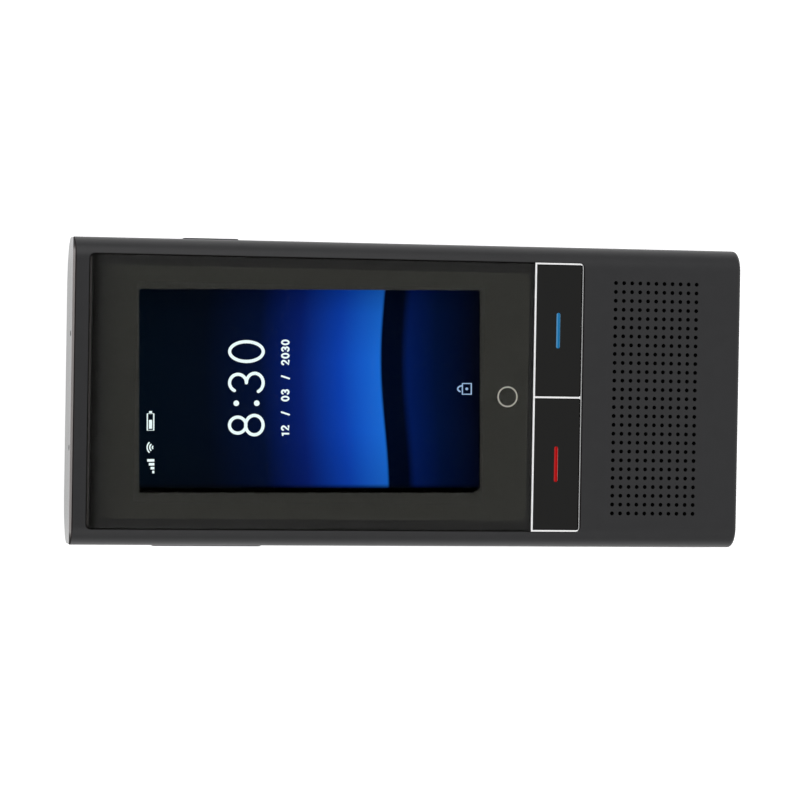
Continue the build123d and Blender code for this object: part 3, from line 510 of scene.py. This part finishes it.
def outline_of(path, width, closed):
    """Left and right borders of a stroke along a path."""
    left, right = [], []
    count = len(path)
    for index, (x, y) in enumerate(path):
        before = path[(index - 1) % count] if closed or index else path[0]
        after = path[(index + 1) % count] if closed or index < count - 1 else path[-1]
        along = Vector((after[0] - before[0], after[1] - before[1])).normalized()
        side = Vector((-along.y, along.x)) * width / 2
        left.append((x + side.x, y + side.y))
        right.append((x - side.x, y - side.y))
    return left, right


def fill(mesh, ring, z):
    """One flat prism over a closed outline."""
    low = [mesh.verts.new((x, y, z)) for x, y in ring]
    face = mesh.faces.new(low)
    raised = bmesh.ops.extrude_face_region(mesh, geom=[face])["geom"]
    verts = [v for v in raised if isinstance(v, bmesh.types.BMVert)]
    bmesh.ops.translate(mesh, verts=verts, vec=(0, 0, INK_THICKNESS))


def stroke(mesh, path, width, z):
    """Ribbon along a path, closed where its ends meet and round-ended elsewhere."""
    closed = math.dist(path[0], path[-1]) < width / 10
    if closed:
        path = path[:-1]
    left, right = outline_of(path, width, closed)
    count = len(path)
    for index in range(count if closed else count - 1):
        after = (index + 1) % count
        fill(mesh, [right[index], right[after], left[after], left[index]], z)
    if not closed:
        for x, y in (path[0], path[-1]):
            fill(mesh, arc((x, y), (width / 2, width / 2), 0, 330, 11), z)


# Width and strokes of each sign, in a box one unit tall.
DIGITS = {
    "0": (0.62, [arc((0.31, 0.5), (0.29, 0.5), 0, 360, 40)]),
    "1": (0.42, [[(0.06, 0.84), (0.28, 1.0), (0.28, 0.0)]]),
    "2": (0.62, [arc((0.3, 0.72), (0.27, 0.28), 165, -25, 20) + [(0.04, 0.0), (0.6, 0.0)]]),
    "3": (0.60, [arc((0.28, 0.75), (0.25, 0.25), 155, -90, 20),
                 arc((0.28, 0.25), (0.28, 0.25), 90, -155, 22)]),
    "8": (0.62, [arc((0.31, 0.755), (0.235, 0.245), 0, 360, 32),
                 arc((0.31, 0.26), (0.285, 0.26), 0, 360, 32)]),
    "/": (0.42, [[(0.02, -0.08), (0.38, 1.02)]]),
    " ": (0.90, []),
}


def text_width(text, height, gap):
    return sum(DIGITS[sign][0] for sign in text) * height + gap * (len(text) - 1)


def digits(mesh, text, corner, height, width, gap, z):
    """Draws the signs in a row from a corner and returns where the next one would start."""
    x, y = corner
    for sign in text:
        advance, paths = DIGITS[sign]
        for path in paths:
            stroke(mesh, [(x + px * height, y + py * height) for px, py in path], width, z)
        x += advance * height + gap
    return x


def finish_mesh(mesh, name, material, body):
    """Turns the drawn marks as the picture is turned and makes one piece of them."""
    middle = Vector((*LIT_MIDDLE, 0))
    turn = Matrix.Rotation(math.radians(LIT_TURN), 3, "Z")
    bmesh.ops.rotate(mesh, verts=mesh.verts, cent=middle, matrix=turn)
    bmesh.ops.recalc_face_normals(mesh, faces=mesh.faces)
    data = bpy.data.meshes.new(name)
    mesh.to_mesh(data)
    mesh.free()
    data.materials.append(material)
    piece = bpy.data.objects.new(name, data)
    bpy.context.scene.collection.objects.link(piece)
    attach(piece, body)
    return piece


def ink_z():
    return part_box("lcd_panel")[1].z + INK_LIFT


def clock_digits(material):
    """Hours, two dots and minutes."""
    mesh = bmesh.new()
    height, width, gap = 6.6 * MM, 0.62 * MM, 1.9 * MM
    base, z = 29.6 * MM, ink_z()
    start = -8.05 * MM
    x = digits(mesh, "8", (start, base), height, width, gap, z)
    dot, dot_place, minutes_place = 0.55 * MM, 0.3 * MM, 2.4 * MM
    for share in (0.19, 0.80):
        fill(mesh, arc((x + dot_place, base + share * height), (dot, dot), 0, 345, 23), z)
    digits(mesh, "30", (x + minutes_place, base), height, width, gap, z)
    finish_mesh(mesh, "clock_digits", material, "device")


def date_digits(material):
    """Day, month and year in digits, under the clock."""
    mesh = bmesh.new()
    height, width, gap = 1.34 * MM, 0.34 * MM, 0.48 * MM
    middle, base = 1.2 * MM, 24.58 * MM
    text = "12 / 03 / 2030"
    start = middle - text_width(text, height, gap) / 2
    digits(mesh, text, (start, base), height, width, gap, ink_z())
    finish_mesh(mesh, "date_digits", material, "device")


def box_ring(low, high):
    return [(low[0], low[1]), (high[0], low[1]), (high[0], high[1]), (low[0], high[1])]


def status_marks(material):
    """Rising signal bars, three arcs and a battery outline."""
    mesh = bmesh.new()
    z, base, left, line = ink_z(), 50.85 * MM, -15.25 * MM, 0.25 * MM
    for number in range(4):
        x = left + number * 0.75 * MM
        fill(mesh, box_ring((x, base), (x + 0.5 * MM, base + (0.4 + 0.33 * number) * MM)), z)
    middle = left + 5.0 * MM
    for number in range(3):
        reach = (0.30 + 0.50 * number) * MM
        stroke(mesh, arc((middle, base + 0.1 * MM), (reach, reach), 45, 135, 12), line, z)
    low = (left + 8.3 * MM, base + 0.13 * MM)
    high = (left + 11.5 * MM, base + 1.37 * MM)
    stroke(mesh, box_ring(low, high) + [low], line, z)
    nub = ((high[0] + 0.13 * MM, base + 0.45 * MM), (high[0] + 0.5 * MM, base + 1.05 * MM))
    fill(mesh, box_ring(*nub), z)
    inside, charge = 0.3 * MM, 2.0 * MM
    charged = ((low[0] + inside, low[1] + inside), (low[0] + charge, high[1] - inside))
    fill(mesh, box_ring(*charged), z)
    finish_mesh(mesh, "status_marks", material, "device")


def padlock_mark(material):
    """Outline of an open padlock with a dot in it."""
    mesh = bmesh.new()
    z = ink_z()
    x, y = 1.0 * MM, -11.0 * MM
    half, tall, line = 1.05 * MM, 1.80 * MM, 0.3 * MM
    low = (x - half, y - tall / 2)
    high = (x + half, y + tall / 2)
    stroke(mesh, box_ring(low, high) + [low], line, z)
    shackle, dot = (0.60 * MM, 0.93 * MM), 0.28 * MM
    stroke(mesh, arc((x, high[1]), shackle, 0, 150, 16), line, z)
    fill(mesh, arc((x, y), (dot, dot), 0, 330, 11), z)
    finish_mesh(mesh, "padlock_mark", material, "device")


def screen_marks():
    white = ink_material("ink_white", (0.86, 1.0, 1.0), 1.04)
    blue = ink_material("ink_blue", (0.34, 0.52, 0.80), 0.9)
    clock_digits(white)
    date_digits(white)
    status_marks(white)
    padlock_mark(blue)


# ---- Stage ---------------------------------------------------------------------------------------
def table_glow(tree):
    """Light the table adds for the camera, and less for mirrored and transmitted rays.

    Rays that surfaces scatter get none of it.
    """
    path = add(tree, "ShaderNodeLightPath").outputs
    mirrored = math_node(tree, "MAXIMUM", path["Is Glossy Ray"], path["Is Transmission Ray"])
    direct = math_node(tree, "MULTIPLY", path["Is Camera Ray"], GLOW_SEEN)
    return math_node(tree, "MAXIMUM", direct, math_node(tree, "MULTIPLY", mirrored, GLOW_MIRRORED))


def floor():
    """White table. What the camera sees of it is white, apart from the object's soft shadow."""
    mesh = bmesh.new()
    bmesh.ops.create_grid(mesh, x_segments=8, y_segments=8, size=TABLE_SIZE / 2)
    data = bpy.data.meshes.new("table_top")
    mesh.to_mesh(data)
    mesh.free()
    material, tree, shader = new_material("table_white")
    vary_colour(tree, shader, (0.86, 0.86, 0.86), 40 * MM, 0.01)
    shader.inputs["Roughness"].default_value = 0.9
    shader.inputs["Specular IOR Level"].default_value = 0.0
    shader.inputs["Emission Color"].default_value = (1, 1, 1, 1)
    tree.links.new(table_glow(tree), shader.inputs["Emission Strength"])
    data.materials.append(material)
    table = bpy.data.objects.new("table_top", data)
    table.location.z = cad_box[0].z - 0.01 * MM
    bpy.context.scene.collection.objects.link(table)


def world():
    """White room, grey above and darker over the microphone end, plain white to the camera."""
    scene_world = bpy.data.worlds.new("room")
    bpy.context.scene.world = scene_world
    scene_world.use_nodes = True
    tree = scene_world.node_tree
    split = add(tree, "ShaderNodeSeparateXYZ")
    tree.links.new(add(tree, "ShaderNodeTexCoord").outputs["Generated"], split.inputs["Vector"])
    height = split.outputs["Z"]
    room = ramp(tree, height, greys((0.0, 0.75), (0.35, 0.55), (0.75, CEILING), (1.0, CEILING)))
    along = math_node(tree, "MULTIPLY_ADD", split.outputs["Y"], 0.5)
    along.node.inputs[2].default_value = 0.5
    patch = ramp(tree, along, greys((0.46, 1.0), (0.53, 0.15), (0.75, 0.15), (0.9, 1.0)))
    low = ramp(tree, height, greys((0.45, 1.0), (0.8, 0.0)))
    shade = blended(tree, 1.0, room, math_node(tree, "MAXIMUM", patch, low), "MULTIPLY")
    seen = add(tree, "ShaderNodeLightPath").outputs["Is Camera Ray"]
    tree.links.new(blended(tree, seen, shade, (1, 1, 1)), tree.nodes["Background"].inputs["Color"])


def softbox(name, place, size, power):
    """Lamp with a lit rectangle that faces the middle of the object."""
    data = bpy.data.lights.new(name, "AREA")
    data.shape = "RECTANGLE"
    data.size, data.size_y = size
    data.energy = power
    lamp = bpy.data.objects.new(name, data)
    lamp.location = place
    lamp.rotation_euler = Vector(place).to_track_quat("Z", "Y").to_euler()
    bpy.context.scene.collection.objects.link(lamp)


def lamps():
    softbox("lamp_right", (0.75, 0.05, 0.75), (0.35, 0.8), 2.4)
    softbox("lamp_left", (-0.75, 0.0, 0.75), (0.35, 0.8), 1.1)
    softbox("lamp_top", (0.0, 0.95, 0.5), (0.8, 0.3), 1.8)
    softbox("lamp_foot", (0.0, -1.0, 0.45), (0.8, 0.3), 0.8)


def camera():
    data = bpy.data.cameras.new("camera")
    data.lens = CAMERA_LENS
    data.sensor_width = SENSOR
    data.clip_start, data.clip_end = 0.01, 20
    eye = bpy.data.objects.new("camera", data)
    eye.location = CAMERA_PLACE
    eye.rotation_euler = [math.radians(angle) for angle in CAMERA_TURN]
    bpy.context.scene.collection.objects.link(eye)
    bpy.context.scene.camera = eye


camera()
bpy.context.scene.view_settings.view_transform = "Standard"
world()
lamps()
floor()
dress_nodes()
screen_marks()
